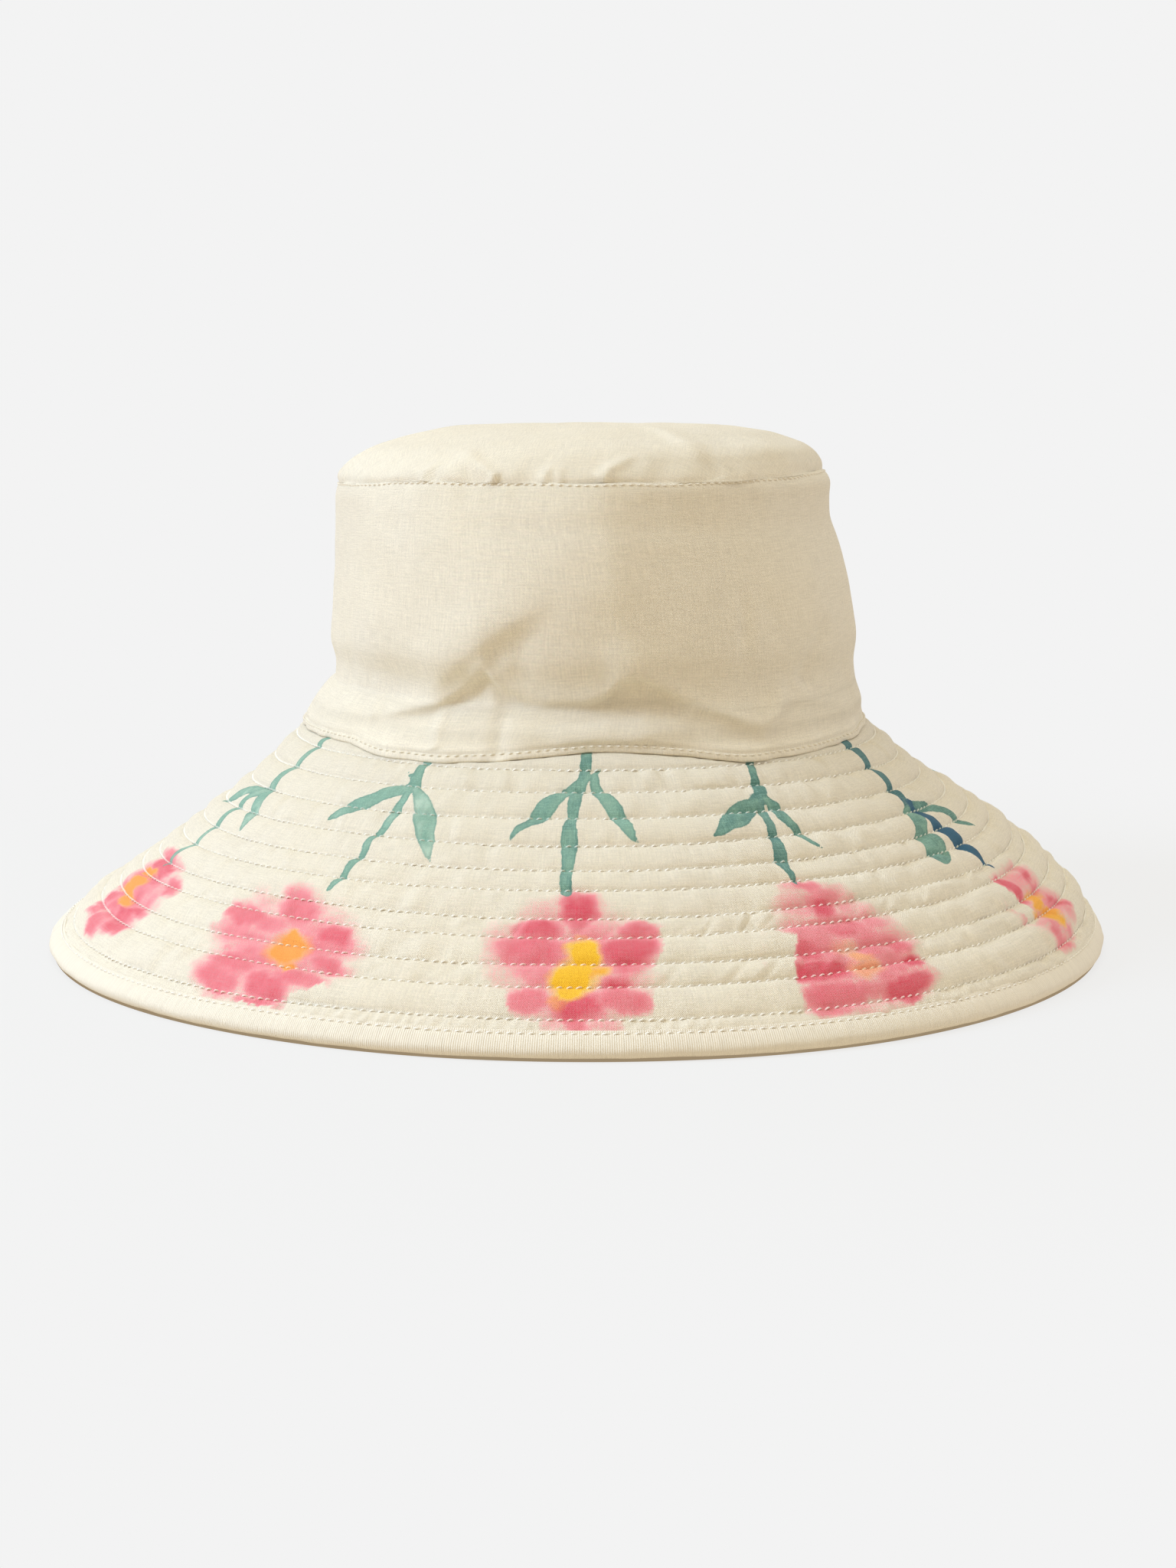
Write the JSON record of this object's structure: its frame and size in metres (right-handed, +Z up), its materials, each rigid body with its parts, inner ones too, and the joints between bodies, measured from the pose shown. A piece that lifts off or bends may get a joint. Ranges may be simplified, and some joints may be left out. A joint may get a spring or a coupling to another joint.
{
  "type": "bucket sun hat with quilted brim",
  "caption": "Soft ivory cotton sun hat with a round-topped crown, a sloping quilted brim painted with loose watercolour flowers, and a bound edge.",
  "frame": {"origin": "centre of the hat's footprint, on the surface it rests on", "axes": "+Z up through the crown, -Y the front of the hat (forehead side), +X to the right seen from the front"},
  "size_m": [0.352, 0.3662, 0.1682],
  "materials": {
    "crown_cotton": "plain-weave cotton, matt",
    "brim_printed_cotton": "plain-weave cotton, matt, with painted flowers and leaves",
    "brim_plain_cotton": "plain-weave cotton, matt, undecorated",
    "lining_cotton": "fine cotton lawn",
    "sweatband_twill": "cotton twill tape",
    "binding_cotton": "folded cotton binding with a fine rib",
    "wadding": "thin polyester wadding",
    "interlining": "firm woven interlining",
    "thread": "spun sewing thread",
    "label_satin": "white satin tape, blank"
  },
  "bodies": {
    "hat": {"crown_tip": "crown_cotton", "crown_side_front": "crown_cotton", "crown_side_back": "crown_cotton", "lining_tip": "lining_cotton", "lining_side_front": "lining_cotton", "lining_side_back": "lining_cotton", "sweatband": "sweatband_twill", "brim_top_front": "brim_printed_cotton", "brim_top_back": "brim_printed_cotton", "brim_wadding": "wadding", "brim_interlining": "interlining", "brim_under_front": "brim_plain_cotton", "brim_under_back": "brim_plain_cotton", "brim_binding": "binding_cotton", "quilting_thread_01": "thread", "quilting_thread_02": "thread", "quilting_thread_03": "thread", "quilting_thread_04": "thread", "quilting_thread_05": "thread", "quilting_thread_06": "thread", "quilting_thread_07": "thread", "quilting_thread_08": "thread", "quilting_thread_09": "thread", "quilting_thread_10": "thread", "quilting_thread_11": "thread", "binding_thread": "thread", "crown_seam_thread": "thread", "tip_seam_thread": "thread", "sweatband_thread": "thread", "label_thread": "thread"},
    "label": {"care_label": "label_satin"}
  },
  "joints": [
    {"name": "care_label_flap", "type": "hinge", "parent": "hat", "child": "label", "pos_m": [0, 0.08539, 0.099], "axis": [-1, 0, 0], "range_deg": [0, 150]}
  ]
}
